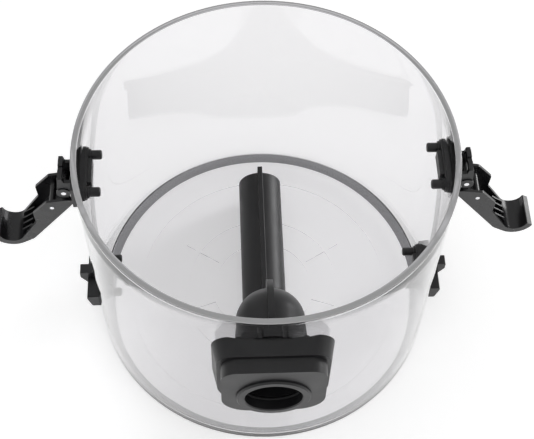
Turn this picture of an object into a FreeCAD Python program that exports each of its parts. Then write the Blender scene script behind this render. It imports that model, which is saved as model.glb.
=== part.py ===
import FreeCAD, Part
import math
import os

# Clear catch tank of a canister wet vacuum cleaner: hose inlet with its elbow and floor tube,
# two swing latches near the rim and two fixed catches near the base.
# Millimetres. Origin at the centre of the flat underside, +Z up, hose inlet towards -Y.

os.makedirs("parts", exist_ok=True)
V = FreeCAD.Vector

# ---- tank ----
TANK_H = 224.0            # underside to rim
RIM_R = 150.0             # outer radius of the rim bead
RIM_BEAD_H = 5.0
WALL_TOP_R = 149.3        # outer radius of the wall just under the bead
BASE_R = 147.7            # outer radius at the foot, slightly drafted
WALL = 4.0
FLOOR_T = 4.0
FLOOR_FILLET = 8.0
FOOT_R = 4.5              # rounding of the outer bottom edge
FLOOR_RINGS = ((45.0, 4.0), (70.0, 4.6), (116.0, 9.0))    # raised rings in the floor: radius, width
FLOOR_RIB_R = (45.0, 82.0)                                # four radial ribs, from and to
FLOOR_RIB_AT = (31.0, 147.0, 199.0, 341.0)
FLOOR_RIB_W = 4.0
EMBOSS_H = 0.9

# ---- hose inlet, axis along Y ----
INLET_Z = 155.5
HOSE_R = 21.5             # socket bore that takes the hose end
SPIGOT_R = 23.5
WALL_HOLE_R = 24.0
FACE_Y = -175.0           # front of the socket block
RING_Y = -177.5           # front of the raised ring
RING_BEVEL = 1.3
MOUTH_BEVEL = 0.8
STEP_Y = -163.0           # front of the saddle
SADDLE_BACK_Y = -147.0    # flat back of the saddle beside the curved wall
RING_R = 28.0
GASKET_T = 1.5
GASKET_HALF_W = 30.0
WASHER_R = 32.0
NUT_R = 34.5
NUT_NOTCH_R = 2.6
NUT_Y = (-140.5, -134.5)
SPIGOT_END_Y = -129.2
SEAL_Y = -168.0
SEAL_R = 1.6
SEAL_PLAY = 0.1           # room round the seal ring in its groove

# ---- elbow, drop pipe and floor tube ----
DROP_Y = -115.0           # vertical axis of the elbow and the drop pipe
BALL_R = 27.0
NECK_R = 23.0
ELBOW_BORE_R = 20.5       # smaller than the socket bore, so the hose end stops here
FIN_R = 33.5
FIN_W = 5.0
PIPE_R = 19.5
PIPE_BORE_R = 17.0
NECK_Z = 118.0
SOCKET_DEPTH = 12.0
BEND_R = 30.0
TUBE_Z = 24.5
TUBE_START_Y = -76.0
TUBE_END_Y = 98.0
RIB_H = 7.5
RIB_W = 4.4
RIB_OVERHANG = 2.0
PLUG_LEN = 8.0            # reduced end that plugs into the next pipe
FIT_GAP = 0.1

# ---- brackets on the wall at +X and -X ----
LATCH_SCREW_T = 17.5      # screws stand this far either side of the bracket's middle
CATCH_SCREW_T = 16.4
SCREW_R = 2.0
SCREW_HEAD_R = 3.2
SCREW_HEAD_H = 1.4
SCREW_SINK = 0.9          # depth of the counterbore round each screw head
COUNTERBORE_R = 3.35
SOCKET_R = 1.5
WALL_SCREW_R = 2.6
LATCH_Z = 195.0
CATCH_Z = 31.0
PAD_GAP = 0.05            # rubber stands this far off the curved wall
BACKING_FACE_U = 141.2    # rubber pad to backing plate
BACKING_T = 1.8
BACKING_HALF_H = 6.0
BACKING_END = 6.5         # plate beyond each screw's axis
BOSS_R = 5.0
BOSS_H = 1.8
TOWER_R = 3.8
TOWER_TIP_ROUND = 1.5
LATCH_TOWER_U = 129.0
CATCH_TOWER_U = 127.5
BLOCK_U = 136.0
BLOCK_HALF_T = 11.5
BLOCK_HALF_H = 5.0
OUTER_GASKET_T = 1.2

# ---- swing latch ----
PIVOT = (159.0, 185.5)    # (u, z) of the latch pivot, u is the distance from the tank's axis
PIVOT_R = 2.0
PIVOT_HALF_T = 12.4
PIVOT_BOSS_R = 5.6        # round boss outside each ear
PIVOT_BOSS_T = 12.2
RUNNING_GAP = 0.05
CROSS_PIN = (170.4, 167.8)
CROSS_PIN_R = 1.7
SPACER_R = 2.45
SPACER_HALF_T = 11.4
BASE_HALF_T = 21.6
BASE_FACE_U = 151.6
BASE_Z = (180.0, 204.0)
EAR_T = (8.2, 11.2)
EAR_TOP_Z = 198.6
HORN_TOP_Z = 203.6
HORN_U = (158.6, 162.2)
LEVER_HALF_T = 14.0
CHEEK_INNER_T = 11.6
KNUCKLE_HALF_T = 7.8
KNUCKLE_R = 4.2
LEVER_RIB_T = (-8.25, -2.75, 2.75, 8.25)
LEVER_RIB_W = 1.2

# ---- lower catch ----
CATCH_HALF_T = 25.0
CATCH_Z_RANGE = (20.0, 35.6)
CATCH_FACE_U = 157.0
CATCH_FOOT_U = 153.6
NOSE_HALF_T = 4.6
NOSE_U = 163.4


# ---------------------------------------------------------------- helpers
def rounded_wire(corners, place):
    """Closed wire through (a, b, radius) corners; place maps (a, b) to a point in space."""
    ends = []
    count = len(corners)
    for i, (a, b, radius) in enumerate(corners):
        before = corners[i - 1]
        after = corners[(i + 1) % count]
        if radius <= 0:
            ends.append((place(a, b), None, place(a, b)))
            continue
        d1 = V(before[0] - a, before[1] - b, 0).normalize()
        d2 = V(after[0] - a, after[1] - b, 0).normalize()
        half = d1.getAngle(d2) / 2
        reach = radius / math.tan(half)
        middle = (d1 + d2).normalize() * (radius / math.sin(half) - radius)
        ends.append((
            place(a + d1.x * reach, b + d1.y * reach),
            place(a + middle.x, b + middle.y),
            place(a + d2.x * reach, b + d2.y * reach),
        ))
    edges = []
    for i, (start, middle, end) in enumerate(ends):
        if middle is not None:
            edges.append(Part.Arc(start, middle, end).toShape())
        following = ends[(i + 1) % count][0]
        if end.distanceToPoint(following) > 1e-6:
            edges.append(Part.makeLine(end, following))
    return Part.Wire(edges)


def slab(corners, t_low, t_high):
    """Solid with a (u, z) outline, from y = t_low to y = t_high."""
    wire = rounded_wire(corners, lambda u, z: V(u, t_low, z))
    return Part.Face(wire).extrude(V(0, t_high - t_low, 0))


def block_y(corners, y_low, y_high):
    """Solid with an (x, z) outline, from y_low to y_high."""
    wire = rounded_wire(corners, lambda x, z: V(x, y_low, z))
    return Part.Face(wire).extrude(V(0, y_high - y_low, 0))


def revolve_z(corners):
    """Full turn about Z of an (r, z) outline."""
    wire = rounded_wire(corners, lambda r, z: V(r, 0, z))
    return Part.Face(wire).revolve(V(0, 0, 0), V(0, 0, 1), 360)


def rod_y(radius, y_low, y_high, z, x=0.0):
    return Part.makeCylinder(radius, y_high - y_low, V(x, y_low, z), V(0, 1, 0))


def rod_x(radius, x_low, x_high, y, z):
    return Part.makeCylinder(radius, x_high - x_low, V(x_low, y, z), V(1, 0, 0))


def rod_z(radius, z_low, z_high, x, y):
    return Part.makeCylinder(radius, z_high - z_low, V(x, y, z_low))


def box(x_range, y_range, z_range):
    size = [high - low for low, high in (x_range, y_range, z_range)]
    return Part.makeBox(size[0], size[1], size[2], V(x_range[0], y_range[0], z_range[0]))


def stadium_x(half_t, half_h, x_low, x_high, z):
    """Plate with round ends in the YZ plane, between two x values."""
    straight = half_t - half_h
    plate = box((x_low, x_high), (-straight, straight), (z - half_h, z + half_h))
    return plate.fuse([rod_x(half_h, x_low, x_high, t, z) for t in (-straight, straight)]).removeSplitter()


def screw_holes(radius, x_low, x_high, screw_t, z):
    """The two rods along X that stand for a bracket's pair of screws."""
    return [rod_x(radius, x_low, x_high, t, z) for t in (-screw_t, screw_t)]


def outer_wall(extra=0.0):
    """Solid cone that follows the tank's outer wall, grown by extra."""
    slope_top = WALL_TOP_R + (WALL_TOP_R - BASE_R) * RIM_BEAD_H / (TANK_H - RIM_BEAD_H)
    return Part.makeCone(BASE_R + extra, slope_top + extra, TANK_H)


def inner_wall(less=0.0):
    """Solid cone that follows the tank's inner wall, shrunk by less."""
    slope_top = WALL_TOP_R + (WALL_TOP_R - BASE_R) * RIM_BEAD_H / (TANK_H - RIM_BEAD_H)
    return Part.makeCone(BASE_R - WALL - less, slope_top - WALL - less, TANK_H)


def turned(shape):
    """The same piece on the opposite side of the tank."""
    other = shape.copy()
    other.rotate(V(0, 0, 0), V(0, 0, 1), 180)
    return other


def save(name, shape):
    shape.exportStep("parts/" + name + ".step")


def save_sides(name, shape):
    save(name + "_right", shape)
    save(name + "_left", turned(shape))


# ---------------------------------------------------------------- tank
def floor_ring(radius, width):
    """Low ring on the floor with rounded shoulders."""
    low = FLOOR_T - 1
    high = FLOOR_T + EMBOSS_H
    shoulder = EMBOSS_H - 0.1
    return revolve_z([
        (radius - width / 2, low, 0),
        (radius + width / 2, low, 0),
        (radius + width / 2, high, shoulder),
        (radius - width / 2, high, shoulder),
    ])


def clear_shell():
    """The whole clear tank with its holes."""
    inner_top = WALL_TOP_R - WALL
    inner_base = BASE_R - WALL
    bead_z = TANK_H - RIM_BEAD_H
    shell = revolve_z([
        (0, 0, 0),
        (BASE_R, 0, FOOT_R),
        (WALL_TOP_R, bead_z, 0),
        (RIM_R, bead_z + 0.7, 0.3),
        (RIM_R, TANK_H, 1.0),
        (inner_top + 0.1, TANK_H, 1.0),
        (inner_base, FLOOR_T, FLOOR_FILLET),
        (0, FLOOR_T, 0),
    ])
    features = [floor_ring(radius, width) for radius, width in FLOOR_RINGS]
    for angle in FLOOR_RIB_AT:
        rib = box(FLOOR_RIB_R, (-FLOOR_RIB_W / 2, FLOOR_RIB_W / 2), (FLOOR_T - 1, FLOOR_T + EMBOSS_H))
        rib.rotate(V(0, 0, 0), V(0, 0, 1), angle)
        features.append(rib)
    shell = shell.fuse(features)
    holes = [rod_y(WALL_HOLE_R, -RIM_R - 5, -RIM_R + 15, INLET_Z)]
    holes += screw_holes(WALL_SCREW_R, -RIM_R - 5, RIM_R + 5, LATCH_SCREW_T, LATCH_Z)
    holes += screw_holes(WALL_SCREW_R, -RIM_R - 5, RIM_R + 5, CATCH_SCREW_T, CATCH_Z)
    return shell.cut(holes)


def tank_pieces():
    """The shell in six: the wall in quarters, the thick corner ring under it, and the flat floor."""
    shell = clear_shell()
    split_r = BASE_R - WALL - FLOOR_FILLET
    split_z = FLOOR_T + FLOOR_FILLET
    foot_band = rod_z(RIM_R + 5, -1, split_z, 0, 0)
    middle = rod_z(split_r, -1, split_z, 0, 0)
    wall = shell.cut(foot_band)
    pieces = {
        "tank_foot": shell.common(foot_band).cut(middle),
        "tank_floor": shell.common(middle),
    }
    for y_name, y_range in (("front", (-RIM_R - 5, 0)), ("back", (0, RIM_R + 5))):
        for x_name, x_range in (("right", (0, RIM_R + 5)), ("left", (-RIM_R - 5, 0))):
            quarter = box(x_range, y_range, (split_z - 1, TANK_H + 1))
            pieces["tank_wall_" + y_name + "_" + x_name] = wall.common(quarter)
    return pieces


# ---------------------------------------------------------------- hose inlet
def inlet_outline(half_width, z_low, z_high, top_r, low_r):
    return [
        (-half_width, z_high, top_r),
        (half_width, z_high, top_r),
        (half_width, z_low, low_r),
        (-half_width, z_low, low_r),
    ]


SADDLE_BACK = inlet_outline(45.3, 119.0, 199.0, 13.0, 27.0)
SADDLE_FRONT = inlet_outline(41.8, 121.5, 198.6, 12.0, 25.0)
SOCKET_OUTLINE = inlet_outline(38.7, 129.0, 196.3, 12.0, 22.0)


def inlet_gasket():
    body = block_y(inlet_outline(GASKET_HALF_W, 120.0, 197.5, 9.0, 20.0), -RIM_R - 5, -120)
    body = body.common(outer_wall(GASKET_T)).cut(outer_wall(PAD_GAP))
    return body.cut(rod_y(WALL_HOLE_R, -RIM_R - 5, -120, INLET_Z))


def inlet_saddle():
    back = rounded_wire(SADDLE_BACK, lambda x, z: V(x, SADDLE_BACK_Y, z))
    front = rounded_wire(SADDLE_FRONT, lambda x, z: V(x, STEP_Y, z))
    body = Part.makeLoft([back, front], True, True)
    body = body.cut(outer_wall(GASKET_T))
    return body.cut(rod_y(WALL_HOLE_R, STEP_Y - 1, -120, INLET_Z))


def inlet_socket():
    body = block_y(SOCKET_OUTLINE, FACE_Y, STEP_Y)
    centre = V(0, RING_Y, INLET_Z)
    body = body.fuse([
        Part.makeCone(RING_R - RING_BEVEL, RING_R, RING_BEVEL, centre, V(0, 1, 0)),
        rod_y(RING_R, RING_Y + RING_BEVEL, FACE_Y + 1, INLET_Z),
        rod_y(SPIGOT_R, STEP_Y - 1, SPIGOT_END_Y, INLET_Z),
    ])
    half_w = SEAL_R + SEAL_PLAY
    groove = rod_y(HOSE_R + 2 * half_w, SEAL_Y - half_w, SEAL_Y + half_w, INLET_Z)
    mouth = Part.makeCone(HOSE_R + MOUTH_BEVEL, HOSE_R, MOUTH_BEVEL, centre, V(0, 1, 0))
    return body.cut([rod_y(HOSE_R, RING_Y - 1, SPIGOT_END_Y + 1, INLET_Z), groove, mouth])


def inlet_seal_ring():
    return Part.makeTorus(HOSE_R + SEAL_R + SEAL_PLAY, SEAL_R, V(0, SEAL_Y, INLET_Z), V(0, 1, 0))


def inlet_inner_washer():
    body = rod_y(WASHER_R, -RIM_R, NUT_Y[0], INLET_Z).common(inner_wall(PAD_GAP))
    return body.cut(rod_y(WALL_HOLE_R, -RIM_R - 1, NUT_Y[0] + 1, INLET_Z))


def inlet_nut():
    body = rod_y(NUT_R, NUT_Y[0], NUT_Y[1], INLET_Z)
    cuts = [rod_y(SPIGOT_R + FIT_GAP / 2, NUT_Y[0] - 1, NUT_Y[1] + 1, INLET_Z)]
    for step in range(12):
        angle = math.radians(30 * step + 15)
        x = (NUT_R + 1.0) * math.cos(angle)
        z = INLET_Z + (NUT_R + 1.0) * math.sin(angle)
        cuts.append(rod_y(NUT_NOTCH_R, NUT_Y[0] - 1, NUT_Y[1] + 1, z, x))
    return body.cut(cuts)


# ---------------------------------------------------------------- elbow and tubes
def upper_elbow():
    ball = Part.makeSphere(BALL_R, V(0, DROP_Y, INLET_Z))
    neck = rod_y(BALL_R, NUT_Y[1], DROP_Y, INLET_Z)
    drop = rod_z(NECK_R, NECK_Z, INLET_Z, 0, DROP_Y)
    fin = Part.makeCylinder(FIN_R, FIN_W, V(-FIN_W / 2, DROP_Y, INLET_Z), V(1, 0, 0))
    fin = fin.common(box((-FIN_W, FIN_W), (NUT_Y[1] + 2, 0), (INLET_Z, INLET_Z + FIN_R + 1)))
    spine = box((-FIN_W / 2, FIN_W / 2), (DROP_Y, DROP_Y + FIN_R), (NECK_Z, INLET_Z))
    body = ball.fuse([neck, drop, fin, spine])
    body = body.cut(rod_y(NUT_R + 0.5, DROP_Y - BALL_R - 1, NUT_Y[1], INLET_Z))
    cavity = Part.makeSphere(ELBOW_BORE_R, V(0, DROP_Y, INLET_Z)).fuse([
        rod_y(ELBOW_BORE_R, NUT_Y[1] - 1, DROP_Y, INLET_Z),
        rod_y(SPIGOT_R + FIT_GAP / 2, NUT_Y[1] - 1, SPIGOT_END_Y, INLET_Z),
        rod_z(PIPE_BORE_R, NECK_Z - 1, INLET_Z, 0, DROP_Y),
        rod_z(PIPE_R + FIT_GAP / 2, NECK_Z - 1, NECK_Z + SOCKET_DEPTH, 0, DROP_Y),
    ])
    return body.cut(cavity)


def drop_pipe():
    bottom = TUBE_Z + BEND_R + PLUG_LEN + 1
    body = rod_z(PIPE_R, bottom, NECK_Z + SOCKET_DEPTH - 0.2, 0, DROP_Y)
    body = body.fuse(rod_z(PIPE_BORE_R - FIT_GAP / 2, bottom - PLUG_LEN, bottom + 1, 0, DROP_Y))
    return body.cut(rod_z(PIPE_BORE_R - 2.5, bottom - PLUG_LEN - 1, NECK_Z + SOCKET_DEPTH, 0, DROP_Y))


def bend_solid(radius):
    """Quarter bend from the drop pipe's axis to the floor tube's axis, with its straight ends."""
    centre_z = TUBE_Z + BEND_R
    circle = Part.Face(Part.Wire(Part.makeCircle(radius, V(0, DROP_Y, centre_z), V(0, 0, 1))))
    quarter = circle.revolve(V(0, DROP_Y + BEND_R, centre_z), V(1, 0, 0), 90)
    upright = rod_z(radius, centre_z, centre_z + PLUG_LEN + 1, 0, DROP_Y)
    level = rod_y(radius, DROP_Y + BEND_R, TUBE_START_Y, TUBE_Z)
    return quarter.fuse([upright, level])


def lower_elbow():
    return bend_solid(PIPE_R).cut(bend_solid(PIPE_BORE_R))


def floor_tube():
    body = rod_y(PIPE_R, TUBE_START_Y, TUBE_END_Y, TUBE_Z)
    rib = box(
        (-RIB_W / 2, RIB_W / 2),
        (TUBE_START_Y, TUBE_END_Y + RIB_OVERHANG),
        (TUBE_Z + PIPE_R - 1, TUBE_Z + PIPE_R + RIB_H),
    )
    plug = rod_y(PIPE_BORE_R - FIT_GAP / 2, TUBE_START_Y - PLUG_LEN, TUBE_START_Y + 1, TUBE_Z)
    body = body.fuse([rib, plug])
    return body.cut([
        rod_y(PIPE_BORE_R, TUBE_START_Y + 4, TUBE_END_Y + RIB_OVERHANG + 1, TUBE_Z),
        rod_y(PIPE_BORE_R - 2.5, TUBE_START_Y - PLUG_LEN - 1, TUBE_START_Y + 5, TUBE_Z),
    ])


# ---------------------------------------------------------------- bracket pieces shared by all four
def inner_pad(z, screw_t):
    """Rubber pad between the curved wall and the flat backing plate."""
    body = stadium_x(screw_t + BACKING_END + 0.5, BACKING_HALF_H + 0.5, BACKING_FACE_U, RIM_R, z)
    body = body.common(inner_wall(PAD_GAP))
    return body.cut(screw_holes(WALL_SCREW_R, BACKING_FACE_U - 1, RIM_R, screw_t, z))


def screw_tower(tip_u, base_u, t, z):
    """Blind post with a rounded tip."""
    post = rod_x(TOWER_R, tip_u, base_u, t, z)
    tip = [edge for edge in post.Edges if edge.BoundBox.XMax < tip_u + 0.01]
    return post.makeFillet(TOWER_TIP_ROUND, tip)


def backing_plate(z, screw_t, tower_u):
    """Plate inside the tank with a middle block and two long screw towers."""
    inner_u = BACKING_FACE_U - BACKING_T
    body = stadium_x(screw_t + BACKING_END, BACKING_HALF_H, inner_u, BACKING_FACE_U, z)
    block = box((BLOCK_U, inner_u + 1), (-BLOCK_HALF_T, BLOCK_HALF_T), (z - BLOCK_HALF_H, z + BLOCK_HALF_H))
    pieces = [block] + screw_holes(BOSS_R, inner_u - BOSS_H, inner_u + 1, screw_t, z)
    pieces += [screw_tower(tower_u, inner_u + 1, t, z) for t in (-screw_t, screw_t)]
    body = body.fuse(pieces)
    return body.cut(screw_holes(SCREW_R, tower_u + 3, BACKING_FACE_U + 1, screw_t, z))


def screw_pair(z, screw_t, tower_u, head_u):
    """Two pan-head screws from the bracket's face into the towers of the backing plate."""
    screws = []
    for t in (-screw_t, screw_t):
        shank = rod_x(SCREW_R, tower_u + 4, head_u + 0.5, t, z)
        head = rod_x(SCREW_HEAD_R, head_u, head_u + SCREW_HEAD_H, t, z)
        socket = rod_x(SOCKET_R, head_u + 0.5, head_u + SCREW_HEAD_H + 1, t, z)
        screws.append(shank.fuse(head).cut(socket))
    return Part.makeCompound(screws)


def outer_gasket(z_range, half_t, screw_t, screw_z):
    body = box((100, RIM_R + 5), (-half_t, half_t), z_range)
    body = body.common(outer_wall(OUTER_GASKET_T)).cut(outer_wall(PAD_GAP))
    return body.cut(screw_holes(WALL_SCREW_R, 100, RIM_R + 6, screw_t, screw_z))


# ---------------------------------------------------------------- swing latch
def latch_base():
    """Wall plate with two ears; their horns carry the bar that stops the closed lever."""
    plate = box((130, BASE_FACE_U), (-BASE_HALF_T, BASE_HALF_T), BASE_Z)
    plate = plate.cut(outer_wall(OUTER_GASKET_T))
    ear = [
        (150.5, 180.2, 0),
        (161.0, 180.2, 5.0),
        (163.6, 190.0, 6.0),
        (HORN_U[1], HORN_TOP_Z, 1.2),
        (HORN_U[0], HORN_TOP_Z, 1.2),
        (HORN_U[0] - 1.0, EAR_TOP_Z, 1.0),
        (150.5, EAR_TOP_Z, 0),
    ]
    ears = [slab(ear, EAR_T[0], EAR_T[1]), slab(ear, -EAR_T[1], -EAR_T[0])]
    ears = [piece.cut(outer_wall(OUTER_GASKET_T)) for piece in ears]
    bar = box(HORN_U, (-EAR_T[0] - 0.5, EAR_T[0] + 0.5), (EAR_TOP_Z, HORN_TOP_Z))
    bosses = [
        rod_y(PIVOT_BOSS_R, EAR_T[1] - 1, PIVOT_BOSS_T, PIVOT[1], PIVOT[0]),
        rod_y(PIVOT_BOSS_R, -PIVOT_BOSS_T, 1 - EAR_T[1], PIVOT[1], PIVOT[0]),
    ]
    body = plate.fuse(ears + bosses + [bar])
    cuts = [rod_y(PIVOT_R, -PIVOT_HALF_T, PIVOT_HALF_T, PIVOT[1], PIVOT[0])]
    cuts.append(box((150, 170), (-2.0, 2.0), (HORN_TOP_Z - 1.2, HORN_TOP_Z + 1)))
    cuts += screw_holes(SCREW_R, 130, BASE_FACE_U + 1, LATCH_SCREW_T, LATCH_Z)
    cuts += screw_holes(COUNTERBORE_R, BASE_FACE_U - SCREW_SINK, BASE_FACE_U + 5, LATCH_SCREW_T, LATCH_Z)
    return body.cut(cuts)


def latch_lever():
    """Channel lever: two cheeks, a back plate, a knuckle on the pivot and a hooked grip."""
    outline = [
        (150.6, 177.4, 1.0),
        (157.0, 178.2, 6.0),
        (174.0, 175.0, 2.5),
        (186.5, 159.5, 1.5),
        (186.0, 146.0, 2.0),
        (212.4, 103.9, 9.8),
        (218.6, 126.8, 0.8),
        (223.6, 124.0, 0.8),
        (216.55, 104.6, 15.3),
        (191.0, 121.5, 4.0),
        (154.5, 171.0, 3.0),
    ]
    pocket = [
        (146.0, 186.0, 0),
        (182.0, 186.0, 0),
        (196.0, 160.0, 0),
        (196.0, 146.0, 0),
        (206.0, 130.0, 0),
        (200.9, 122.9, 0),
        (196.0, 120.9, 1.5),
        (156.6, 172.6, 0),
        (146.0, 178.6, 0),
    ]
    body = slab(outline, -LEVER_HALF_T, LEVER_HALF_T)
    body = body.cut(slab(pocket, -CHEEK_INNER_T, CHEEK_INNER_T))
    grip_rib = [
        (187.5, 131.0, 0),
        (191.0, 135.0, 0),
        (200.5, 127.0, 1.0),
        (201.2, 122.6, 0),
        (196.0, 119.0, 0),
    ]
    knuckle = [
        (154.9, 185.5, 0),
        (163.1, 185.5, 0),
        (162.6, 174.0, 2.0),
        (162.6, 163.5, 0),
        (156.4, 171.9, 0),
        (154.9, 176.0, 2.0),
    ]
    pieces = [
        slab(knuckle, -KNUCKLE_HALF_T, KNUCKLE_HALF_T),
        rod_y(KNUCKLE_R, -KNUCKLE_HALF_T, KNUCKLE_HALF_T, PIVOT[1], PIVOT[0]),
    ]
    for t in LEVER_RIB_T:
        pieces.append(slab(grip_rib, t - LEVER_RIB_W / 2, t + LEVER_RIB_W / 2))
    body = body.fuse(pieces)
    return body.cut([
        rod_y(PIVOT_R + RUNNING_GAP, -KNUCKLE_HALF_T - 1, KNUCKLE_HALF_T + 1, PIVOT[1], PIVOT[0]),
        rod_y(CROSS_PIN_R, -LEVER_HALF_T - 1, LEVER_HALF_T + 1, CROSS_PIN[1], CROSS_PIN[0]),
    ])


def latch_pivot_pin():
    return rod_y(PIVOT_R, -PIVOT_HALF_T, PIVOT_HALF_T, PIVOT[1], PIVOT[0])


def latch_cross_pin():
    return rod_y(CROSS_PIN_R, -LEVER_HALF_T - 0.3, LEVER_HALF_T + 0.3, CROSS_PIN[1], CROSS_PIN[0])


def latch_spacer():
    """Sleeve on the cross pin that holds the two cheeks apart and meets the stop bar."""
    body = rod_y(SPACER_R, -SPACER_HALF_T, SPACER_HALF_T, CROSS_PIN[1], CROSS_PIN[0])
    return body.cut(rod_y(CROSS_PIN_R, -LEVER_HALF_T, LEVER_HALF_T, CROSS_PIN[1], CROSS_PIN[0]))


# ---------------------------------------------------------------- lower catch
def catch_base():
    """Wedge-shaped wall plate with a nose in its middle that a dolly's hook grips."""
    low, high = CATCH_Z_RANGE
    section = [
        (140.0, low, 0),
        (CATCH_FOOT_U, low, 1.5),
        (CATCH_FACE_U, high - 3, 0),
        (CATCH_FACE_U, high, 1.0),
        (140.0, high, 0),
    ]
    nose = [
        (145.0, 43.5, 0),
        (NOSE_U, 43.5, 1.0),
        (NOSE_U, 36.0, 1.0),
        (156.0, 24.0, 0),
        (145.0, 24.0, 0),
    ]
    body = slab(section, -CATCH_HALF_T, CATCH_HALF_T).fuse(slab(nose, -NOSE_HALF_T, NOSE_HALF_T))
    body = body.cut(outer_wall(OUTER_GASKET_T))
    cuts = screw_holes(SCREW_R, 130, RIM_R + 20, CATCH_SCREW_T, CATCH_Z)
    cuts += screw_holes(COUNTERBORE_R, CATCH_FOOT_U - SCREW_SINK, RIM_R + 20, CATCH_SCREW_T, CATCH_Z)
    return body.cut(cuts)


# ---------------------------------------------------------------- all nodes
for piece_name, piece_shape in tank_pieces().items():
    save(piece_name, piece_shape)
save("inlet_gasket", inlet_gasket())
save("inlet_saddle", inlet_saddle())
save("inlet_socket", inlet_socket())
save("inlet_seal_ring", inlet_seal_ring())
save("inlet_inner_washer", inlet_inner_washer())
save("inlet_nut", inlet_nut())
save("upper_elbow", upper_elbow())
save("drop_pipe", drop_pipe())
save("lower_elbow", lower_elbow())
save("floor_tube", floor_tube())

save_sides("latch_gasket", outer_gasket(BASE_Z, BASE_HALF_T, LATCH_SCREW_T, LATCH_Z))
save_sides("latch_base", latch_base())
save_sides("latch_inner_pad", inner_pad(LATCH_Z, LATCH_SCREW_T))
save_sides("latch_backing_plate", backing_plate(LATCH_Z, LATCH_SCREW_T, LATCH_TOWER_U))
save_sides("latch_screws", screw_pair(LATCH_Z, LATCH_SCREW_T, LATCH_TOWER_U, BASE_FACE_U - SCREW_SINK))
save_sides("latch_pivot_pin", latch_pivot_pin())
save_sides("latch_cross_pin", latch_cross_pin())
save_sides("latch_spacer", latch_spacer())
save_sides("latch_lever", latch_lever())

save_sides("catch_gasket", outer_gasket(CATCH_Z_RANGE, CATCH_HALF_T, CATCH_SCREW_T, CATCH_Z))
save_sides("catch_base", catch_base())
save_sides("catch_inner_pad", inner_pad(CATCH_Z, CATCH_SCREW_T))
save_sides("catch_backing_plate", backing_plate(CATCH_Z, CATCH_SCREW_T, CATCH_TOWER_U))
save_sides("catch_screws", screw_pair(CATCH_Z, CATCH_SCREW_T, CATCH_TOWER_U, CATCH_FOOT_U - SCREW_SINK))
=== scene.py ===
import math

import bmesh
import bpy
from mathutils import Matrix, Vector


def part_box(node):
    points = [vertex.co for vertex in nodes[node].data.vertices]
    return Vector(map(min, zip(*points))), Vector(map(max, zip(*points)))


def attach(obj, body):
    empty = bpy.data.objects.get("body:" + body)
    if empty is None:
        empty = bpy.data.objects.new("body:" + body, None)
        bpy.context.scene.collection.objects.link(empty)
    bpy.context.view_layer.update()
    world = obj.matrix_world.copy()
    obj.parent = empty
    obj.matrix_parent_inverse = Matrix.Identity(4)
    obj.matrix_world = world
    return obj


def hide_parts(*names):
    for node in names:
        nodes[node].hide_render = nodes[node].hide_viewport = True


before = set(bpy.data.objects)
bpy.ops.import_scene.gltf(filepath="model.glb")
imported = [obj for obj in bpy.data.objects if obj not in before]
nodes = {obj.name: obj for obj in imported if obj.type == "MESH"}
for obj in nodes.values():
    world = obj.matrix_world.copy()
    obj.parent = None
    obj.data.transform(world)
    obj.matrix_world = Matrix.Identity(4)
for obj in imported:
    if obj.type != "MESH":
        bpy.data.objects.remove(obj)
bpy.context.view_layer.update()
scene = bpy.context.scene
scene.view_settings.view_transform = "Standard"
MM = 0.001
SIDES = ("right", "left")


# ---------------------------------------------------------------- places and sizes, from the frame
TANK_NODES = tuple(sorted(name for name in nodes if name.startswith("tank_")))
RIM_R = max(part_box(name)[1].x for name in TANK_NODES)
TANK_H = max(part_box(name)[1].z for name in TANK_NODES)
WALL = 4.0 * MM
RIM_BEAD_H = 5.0 * MM
RIM_STEP = 0.7 * MM                   # how far the bead stands out from the wall
DRAFT = 1.6 * MM                      # the wall leans out by this much from foot to bead
FLOOR_T = 4.0 * MM
FLOOR_FILLET = 8.0 * MM
FOOT_ROUND = 4.5 * MM
FLOOR_RINGS = ((116.0 * MM, 9.0 * MM), (70.0 * MM, 4.6 * MM), (45.0 * MM, 4.0 * MM))
EMBOSS_H = 0.9 * MM
RIB_ANGLES = (31.0, 147.0, 199.0, 341.0)
RIB_R = (45.0 * MM, 82.0 * MM)
RIB_W = 4.0 * MM
RIM_ROUND = 1.0 * MM
BEAD_SLOPE = ((0.2 * MM, 0.5 * MM), (0.0, 0.9 * MM))    # (in from the rim, up from the bead's foot)
RING_ROUND = EMBOSS_H - 0.1 * MM       # edge rounding of the floor's raised rings
RING_TOE = 0.3 * MM                    # width of the slope at the foot of a raised ring
RIB_SINK = 1.0 * MM                    # how far a rib reaches down into the floor
CUT_PAST = 5 * MM                      # the hole tools start this far outside the rim
CUT_DEEP = 15 * MM                     # the hose hole's tool ends this far inside it
CREASE = 32                            # degrees between faces that stay sharp
WALL_SEGMENTS = 240
WALL_STEPS = 8                         # bands of faces up each side of the wall
AXIS_R = 1e-9                          # a profile point this near the axis is on it

inlet_low, inlet_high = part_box("inlet_seal_ring")
INLET_Z = (inlet_low.z + inlet_high.z) / 2
WALL_HOLE_R = 24.0 * MM
WALL_SCREW_R = 2.6 * MM
SCREW_HEAD_R = 3.2 * MM
FLOOR_PLANE_Z = -0.2 * MM              # the studio floor lies this far under the tank


def screw_places(node):
    """(y, z) of the two screws in a bracket's pair."""
    low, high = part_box(node)
    reach = high.y - SCREW_HEAD_R
    return [(y, (low.z + high.z) / 2) for y in (-reach, reach)]


# ---------------------------------------------------------------- materials
NOISE_SPAN = (0.3, 0.7)                # nearly all of a noise texture's values lie in here


def new_material(name):
    material = bpy.data.materials.new(name)
    material.use_nodes = True
    tree = material.node_tree
    shader = tree.nodes["Principled BSDF"]
    return material, tree, shader


def noise(tree, scale, detail=3.0):
    where = tree.nodes.new("ShaderNodeTexCoord")
    node = tree.nodes.new("ShaderNodeTexNoise")
    node.inputs["Scale"].default_value = scale
    node.inputs["Detail"].default_value = detail
    tree.links.new(where.outputs["Object"], node.inputs["Vector"])
    return node.outputs["Fac"]


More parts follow.
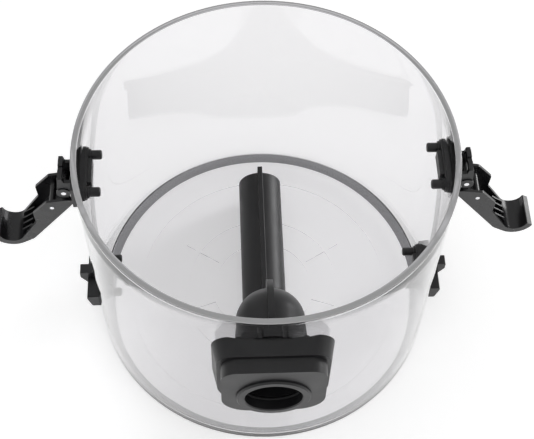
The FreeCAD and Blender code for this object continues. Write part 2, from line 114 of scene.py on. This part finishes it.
def ramp_value(tree, source, low, high):
    """A number that goes from low to high as source crosses the noise's span."""
    node = tree.nodes.new("ShaderNodeMapRange")
    node.inputs["From Min"].default_value = NOISE_SPAN[0]
    node.inputs["From Max"].default_value = NOISE_SPAN[1]
    node.inputs["To Min"].default_value = low
    node.inputs["To Max"].default_value = high
    tree.links.new(source, node.inputs["Value"])
    return node.outputs["Result"]


def ramp_colour(tree, source, low, high):
    """A colour that goes from low to high as source crosses the noise's span."""
    node = tree.nodes.new("ShaderNodeValToRGB")
    for element, position, colour in zip(node.color_ramp.elements, NOISE_SPAN, (low, high)):
        element.position = position
        element.color = (*colour, 1.0)
    tree.links.new(source, node.inputs["Fac"])
    return node.outputs["Color"]


def bump(tree, height, distance, strength, under=None):
    node = tree.nodes.new("ShaderNodeBump")
    node.inputs["Distance"].default_value = distance
    node.inputs["Strength"].default_value = strength
    tree.links.new(height, node.inputs["Height"])
    if under is not None:
        tree.links.new(under, node.inputs["Normal"])
    return node.outputs["Normal"]


def moulded_plastic(name, dark, light, roughness, grain):
    """Black moulded plastic: fine spark-eroded grain, faint flow marks, uneven satin gloss."""
    material, tree, shader = new_material(name)
    flow = noise(tree, scale=45.0, detail=4.0)
    speck = noise(tree, scale=grain, detail=2.0)
    tree.links.new(ramp_colour(tree, flow, dark, light), shader.inputs["Base Color"])
    tree.links.new(ramp_value(tree, flow, *roughness), shader.inputs["Roughness"])
    soft = bump(tree, flow, distance=0.25 * MM, strength=0.35)
    grainy = bump(tree, speck, distance=0.03 * MM, strength=0.35, under=soft)
    tree.links.new(grainy, shader.inputs["Normal"])
    return material


def black_rubber():
    """Matt black rubber with a fine speck."""
    material, tree, shader = new_material("black_rubber")
    flow = noise(tree, scale=60.0)
    speck = noise(tree, scale=1800.0, detail=2.0)
    colour = ramp_colour(tree, flow, (0.010, 0.010, 0.011), (0.018, 0.018, 0.019))
    tree.links.new(colour, shader.inputs["Base Color"])
    tree.links.new(ramp_value(tree, speck, 0.55, 0.75), shader.inputs["Roughness"])
    tree.links.new(bump(tree, speck, distance=0.05 * MM, strength=0.5), shader.inputs["Normal"])
    return material


def bright_steel():
    """Bright turned steel with fine tool marks."""
    material, tree, shader = new_material("bright_steel")
    turning = noise(tree, scale=900.0, detail=4.0)
    colour = ramp_colour(tree, turning, (0.78, 0.78, 0.80), (0.92, 0.92, 0.93))
    tree.links.new(colour, shader.inputs["Base Color"])
    tree.links.new(ramp_value(tree, turning, 0.18, 0.34), shader.inputs["Roughness"])
    tree.links.new(bump(tree, turning, distance=0.02 * MM, strength=0.3), shader.inputs["Normal"])
    shader.inputs["Metallic"].default_value = 1.0
    return material


CLEAR_IOR = 1.49                       # acrylic
CLEAR_GLOSS = 0.22                     # specular level, where 0.5 is the full reflection
CLEAR_BODY = (0.60, 0.58, 0.62, 1.0)   # what is left of light far inside the plastic
CLEAR_DENSITY = 4.0                    # how fast the body colour builds up, per metre
CLEAR_SHADOW = (0.985, 0.985, 0.99, 1.0)


def clear_plastic(name, tint, see_through, roughness):
    """Clear moulded tank plastic: bends light, swallows a little of it, lets lamps through."""
    material, tree, shader = new_material(name)
    ripple = noise(tree, scale=14.0)
    haze = noise(tree, scale=400.0)
    shader.inputs["Base Color"].default_value = (*tint, 1.0)
    shader.inputs["Transmission Weight"].default_value = see_through
    shader.inputs["IOR"].default_value = CLEAR_IOR
    shader.inputs["Specular IOR Level"].default_value = CLEAR_GLOSS
    tree.links.new(ramp_value(tree, haze, *roughness), shader.inputs["Roughness"])
    tree.links.new(bump(tree, ripple, distance=0.4 * MM, strength=0.08), shader.inputs["Normal"])
    path = tree.nodes.new("ShaderNodeLightPath")
    open_way = tree.nodes.new("ShaderNodeBsdfTransparent")
    open_way.inputs["Color"].default_value = CLEAR_SHADOW
    mix = tree.nodes.new("ShaderNodeMixShader")
    tree.links.new(path.outputs["Is Shadow Ray"], mix.inputs["Fac"])
    tree.links.new(shader.outputs["BSDF"], mix.inputs[1])
    tree.links.new(open_way.outputs["BSDF"], mix.inputs[2])
    volume = tree.nodes.new("ShaderNodeVolumeAbsorption")
    volume.inputs["Color"].default_value = CLEAR_BODY
    volume.inputs["Density"].default_value = CLEAR_DENSITY
    output = tree.nodes["Material Output"]
    tree.links.new(mix.outputs["Shader"], output.inputs["Surface"])
    tree.links.new(volume.outputs["Volume"], output.inputs["Volume"])
    return material


SATIN_BLACK = moulded_plastic(
    "satin_black_plastic",
    dark=(0.007, 0.007, 0.008),
    light=(0.012, 0.012, 0.013),
    roughness=(0.34, 0.46),
    grain=2200.0,
)
SMOOTH_BLACK = moulded_plastic(
    "smooth_black_plastic",
    dark=(0.006, 0.006, 0.007),
    light=(0.010, 0.010, 0.011),
    roughness=(0.24, 0.34),
    grain=3000.0,
)
RUBBER = black_rubber()
STEEL = bright_steel()
CLEAR = clear_plastic("clear_plastic", (0.925, 0.92, 0.93), 1.0, roughness=(0.01, 0.03))
CLEAR_RIM = clear_plastic("clear_plastic_rim", (0.86, 0.86, 0.87), 0.55, roughness=(0.12, 0.22))
# near-black tint: painted shade for the dark band that refraction makes where the wall meets the floor
CLEAR_PAINTED_SHADE = clear_plastic("clear_plastic_painted_shade", (0.17, 0.17, 0.18), 0.80, roughness=(0.10, 0.20))


def paint(name, material):
    """Gives a CAD node one material."""
    mesh = nodes[name].data
    mesh.materials.clear()
    mesh.materials.append(material)


# ---------------------------------------------------------------- clear tank
def arc(centre_r, centre_z, radius, start, end, steps):
    """Points on an arc in the (r, z) half plane, angles in degrees."""
    points = []
    for i in range(steps + 1):
        angle = math.radians(start + (end - start) * i / steps)
        points.append((centre_r + radius * math.cos(angle), centre_z + radius * math.sin(angle)))
    return points


def tank_profile():
    """Outline of the shell from the middle of the underside, round the rim, to the middle of the floor."""
    bead_z = TANK_H - RIM_BEAD_H
    wall_top = RIM_R - RIM_STEP
    foot = wall_top - DRAFT
    inner_top = wall_top - WALL
    inner_foot = foot - WALL
    points = [(0.0, 0.0)]
    points += arc(foot - FOOT_ROUND, FOOT_ROUND, FOOT_ROUND, -90, 0, steps=8)
    for i in range(1, WALL_STEPS):
        share = i / WALL_STEPS
        points.append((foot + DRAFT * share, FOOT_ROUND + (bead_z - FOOT_ROUND) * share))
    points.append((wall_top, bead_z))
    for inward, upward in BEAD_SLOPE:
        points.append((RIM_R - inward, bead_z + upward))
    points += arc(RIM_R - RIM_ROUND, TANK_H - RIM_ROUND, RIM_ROUND, 0, 90, steps=6)
    points += arc(inner_top + RIM_ROUND, TANK_H - RIM_ROUND, RIM_ROUND, 90, 180, steps=6)
    for i in range(1, WALL_STEPS):
        share = i / WALL_STEPS
        points.append((inner_top - DRAFT * share, TANK_H - (TANK_H - FLOOR_T) * share))
    points += arc(inner_foot - FLOOR_FILLET, FLOOR_T + FLOOR_FILLET, FLOOR_FILLET, 0, -90, steps=12)
    round_z = FLOOR_T + EMBOSS_H - RING_ROUND
    for radius, width in FLOOR_RINGS:
        low, high = radius - width / 2, radius + width / 2
        points.append((high + RING_TOE, FLOOR_T))
        points += arc(high - RING_ROUND, round_z, RING_ROUND, 0, 90, steps=5)
        points += arc(low + RING_ROUND, round_z, RING_ROUND, 90, 180, steps=5)
        points.append((low - RING_TOE, FLOOR_T))
    points.append((0.0, FLOOR_T))
    return points


def revolve(name, profile, segments):
    """Closed mesh from an (r, z) outline whose two ends lie on the axis."""
    mesh = bmesh.new()
    rings = []
    for r, z in profile:
        if r < AXIS_R:
            rings.append([mesh.verts.new((0.0, 0.0, z))])
            continue
        ring = []
        for i in range(segments):
            angle = 2 * math.pi * i / segments
            ring.append(mesh.verts.new((r * math.cos(angle), r * math.sin(angle), z)))
        rings.append(ring)
    for low, high in zip(rings, rings[1:]):
        for i in range(segments):
            j = (i + 1) % segments
            corners = [low[i % len(low)], low[j % len(low)], high[j % len(high)], high[i % len(high)]]
            mesh.faces.new(list(dict.fromkeys(corners)))
    bmesh.ops.recalc_face_normals(mesh, faces=mesh.faces)
    return finish_mesh(name, mesh)


def finish_mesh(name, mesh):
    """Puts a finished bmesh in the scene as an object."""
    data = bpy.data.meshes.new(name)
    mesh.to_mesh(data)
    mesh.free()
    piece = bpy.data.objects.new(name, data)
    scene.collection.objects.link(piece)
    return piece


def rod(name, radius, start, end, segments=48):
    """Plain round tool for a hole, from start to end."""
    start = Vector(start)
    along = Vector(end) - start
    mesh = bmesh.new()
    bmesh.ops.create_cone(
        mesh, cap_ends=True, segments=segments, radius1=radius, radius2=radius, depth=along.length
    )
    piece = finish_mesh(name, mesh)
    turn = along.to_track_quat("Z", "Y").to_matrix().to_4x4()
    turn.translation = start + along / 2
    piece.data.transform(turn)
    return piece


def boolean(piece, tool, operation):
    """Joins the tool to the piece, or cuts it out, and removes the tool."""
    modifier = piece.modifiers.new("tool", "BOOLEAN")
    modifier.object = tool
    modifier.operation = operation
    modifier.solver = "EXACT"
    apply_modifiers(piece)
    bpy.data.objects.remove(tool)


def apply_modifiers(piece):
    """Keeps the mesh that the modifiers make, and removes them."""
    graph = bpy.context.evaluated_depsgraph_get()
    graph.update()
    made = bpy.data.meshes.new_from_object(piece.evaluated_get(graph))
    piece.modifiers.clear()
    piece.data = made


def shade_smooth(piece, degrees):
    """Smooth faces, with a crease where two of them meet at more than the angle, in degrees."""
    piece.data.shade_smooth()
    piece.data.set_sharp_from_angle(angle=math.radians(degrees))


def floor_rib(angle):
    """Straight raised rib in the floor, with sloping sides, at an angle in radians from +X."""
    mesh = bmesh.new()
    bmesh.ops.create_cube(mesh, size=1.0)
    piece = finish_mesh("rib", mesh)
    for v in piece.data.vertices:
        along = RIB_R[0] + (v.co.x + 0.5) * (RIB_R[1] - RIB_R[0])
        across = v.co.y * (RIB_W if v.co.z < 0 else RIB_W - 2 * EMBOSS_H)
        height = FLOOR_T - RIB_SINK if v.co.z < 0 else FLOOR_T + EMBOSS_H
        c, s = math.cos(angle), math.sin(angle)
        v.co = (along * c - across * s, along * s + across * c, height)
    return piece


PLAIN, RIM_TOP, PAINTED_SHADE_SLOT = range(3)      # the tank's material slots
RIM_TOP_H = 1.1 * MM
PAINTED_SHADE_SPAN = (0.02, 0.62)             # share of the fillet's height that takes the dark painted-shade material


def tank_zone(place):
    """The material slot of a face of the tank, from its middle."""
    r = math.hypot(place.x, place.y)
    inner_foot = RIM_R - RIM_STEP - DRAFT - WALL
    if place.z > TANK_H - RIM_TOP_H:
        return RIM_TOP
    height = (place.z - FLOOR_T) / FLOOR_FILLET
    in_fillet = inner_foot - FLOOR_FILLET < r < inner_foot
    # a band partway up the floor fillet gets the painted-shade material
    if in_fillet and PAINTED_SHADE_SPAN[0] < height < PAINTED_SHADE_SPAN[1]:
        return PAINTED_SHADE_SLOT
    return PLAIN


def build_tank():
    """The clear tank as one smooth mesh, so that no joint line shows through it."""
    tank = revolve("clear_tank", tank_profile(), WALL_SEGMENTS)
    for angle in RIB_ANGLES:
        boolean(tank, floor_rib(math.radians(angle)), "UNION")
    far = RIM_R + CUT_PAST
    near = RIM_R - CUT_DEEP
    hose_hole = rod("hole", WALL_HOLE_R, (0, -far, INLET_Z), (0, -near, INLET_Z), segments=96)
    boolean(tank, hose_hole, "DIFFERENCE")
    for y, z in screw_places("latch_screws_right") + screw_places("catch_screws_right"):
        boolean(tank, rod("hole", WALL_SCREW_R, (-far, y, z), (far, y, z)), "DIFFERENCE")
    shade_smooth(tank, CREASE)
    tank.data.materials.clear()
    for material in (CLEAR, CLEAR_RIM, CLEAR_PAINTED_SHADE):
        tank.data.materials.append(material)
    for face in tank.data.polygons:
        face.material_index = tank_zone(face.center)
    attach(tank, "tank")
    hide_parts(*TANK_NODES)


# ---------------------------------------------------------------- carried-over pieces
WELD_GAP = 0.002 * MM
EDGE_ANGLE = math.radians(35.0)        # edges sharper than this are rounded
EDGE_SEGMENTS = 3


def soften(name, width):
    """Rounds the moulded edges of a CAD piece."""
    piece = nodes[name]
    weld = piece.modifiers.new("weld", "WELD")
    weld.merge_threshold = WELD_GAP
    bevel = piece.modifiers.new("edge_round", "BEVEL")
    bevel.width = width
    bevel.segments = EDGE_SEGMENTS
    bevel.limit_method = "ANGLE"
    bevel.angle_limit = EDGE_ANGLE
    bevel.harden_normals = True
    bevel.use_clamp_overlap = True
    normals = piece.modifiers.new("face_normals", "WEIGHTED_NORMAL")
    normals.keep_sharp = True


# material, edge rounding in mm or None, and the nodes; a name with * stands for both sides
DRESS = (
    (SATIN_BLACK, 0.9, ("inlet_saddle", "inlet_socket")),
    (SATIN_BLACK, 0.5, ("upper_elbow", "floor_tube")),
    (SATIN_BLACK, 0.4, ("latch_base*", "catch_base*", "latch_backing_plate*", "catch_backing_plate*")),
    (SATIN_BLACK, None, ("drop_pipe", "lower_elbow", "inlet_nut")),
    (SMOOTH_BLACK, 0.4, ("latch_lever*",)),
    (SMOOTH_BLACK, None, ("latch_spacer*",)),
    (RUBBER, None, ("inlet_gasket", "inlet_seal_ring", "inlet_inner_washer")),
    (RUBBER, None, ("latch_gasket*", "latch_inner_pad*", "catch_gasket*", "catch_inner_pad*")),
    (STEEL, None, ("latch_screws*", "catch_screws*", "latch_pivot_pin*", "latch_cross_pin*")),
)


def dress_pieces():
    """Gives every carried-over node its material and its rounded edges."""
    for material, rounding, patterns in DRESS:
        for pattern in patterns:
            names = [pattern]
            if pattern.endswith("*"):
                names = [pattern[:-1] + "_" + side for side in SIDES]
            for name in names:
                paint(name, material)
                if rounding:
                    soften(name, rounding * MM)


# ---------------------------------------------------------------- studio
WHITE = (1.0, 1.0, 1.0, 1.0)
FLOOR_HALF = 3.0
FLOOR_COLOUR = (0.88, 0.88, 0.88, 1.0)
FLOOR_GLOW = 0.42                      # light the floor gives off by itself
FLOOR_ROUGHNESS = 0.9
FLOOR_GLOSS = 0.1
WORLD_LIGHT = 0.62


def studio_floor():
    """Plain pale floor that glows a little, so that it stays even and bright."""
    mesh = bmesh.new()
    bmesh.ops.create_grid(mesh, x_segments=1, y_segments=1, size=FLOOR_HALF)
    piece = finish_mesh("studio_floor", mesh)
    piece.location.z = FLOOR_PLANE_Z
    material, tree, shader = new_material("studio_floor")
    shader.inputs["Base Color"].default_value = FLOOR_COLOUR
    shader.inputs["Roughness"].default_value = FLOOR_ROUGHNESS
    shader.inputs["Specular IOR Level"].default_value = FLOOR_GLOSS
    shader.inputs["Emission Color"].default_value = WHITE
    shader.inputs["Emission Strength"].default_value = FLOOR_GLOW
    piece.data.materials.append(material)


def area_light(name, place, target, size, power, size_y=None):
    data = bpy.data.lights.new(name, "AREA")
    data.energy = power
    data.size = size
    if size_y is not None:
        data.shape = "RECTANGLE"
        data.size_y = size_y
    light = bpy.data.objects.new(name, data)
    scene.collection.objects.link(light)
    light.location = place
    light.rotation_mode = "QUATERNION"
    light.rotation_quaternion = (Vector(target) - Vector(place)).to_track_quat("-Z", "Y")
    return light


def studio_light():
    """Even white surroundings, a soft lamp in front and a narrow one at the right."""
    world = bpy.data.worlds.new("studio")
    scene.world = world
    world.use_nodes = True
    background = world.node_tree.nodes["Background"]
    background.inputs["Color"].default_value = WHITE
    background.inputs["Strength"].default_value = WORLD_LIGHT
    middle = (0, 0, TANK_H / 2)
    key = area_light("front_key", (-0.3, -1.6, 0.9), middle, size=1.6, power=5.0)
    strip = area_light("right_strip", (1.35, 0.85, 0.35), middle, size=0.3, power=8.0, size_y=0.9)
    key.visible_glossy = False
    for light in (key, strip):
        light.visible_transmission = False


SENSOR_MM = 36.0
LENS_MM = 81.25
CAMERA_PLACE = (-0.03030, -0.52891, 0.98255)
CAMERA_LOOKS = (0.03194, 0.52225, -0.85219)
CAMERA_ROLL = math.radians(1.62)


def camera():
    """Looks down on the tank from in front of the inlet, slightly turned and tilted."""
    data = bpy.data.cameras.new("camera")
    data.sensor_width = SENSOR_MM
    data.lens = LENS_MM
    piece = bpy.data.objects.new("camera", data)
    scene.collection.objects.link(piece)
    piece.location = CAMERA_PLACE
    forward = Vector(CAMERA_LOOKS).normalized()
    turn = forward.to_track_quat("-Z", "Y").to_matrix()
    right = forward.cross(Vector((0, 0, 1))).normalized()
    up = right.cross(forward)
    tilted_right = right * math.cos(CAMERA_ROLL) + up * math.sin(CAMERA_ROLL)
    tilted_up = up * math.cos(CAMERA_ROLL) - right * math.sin(CAMERA_ROLL)
    for row in range(3):
        turn[row][0] = tilted_right[row]
        turn[row][1] = tilted_up[row]
        turn[row][2] = -forward[row]
    piece.rotation_mode = "QUATERNION"
    piece.rotation_quaternion = turn.to_quaternion()
    scene.camera = piece


camera()
studio_floor()
studio_light()
dress_pieces()
build_tank()
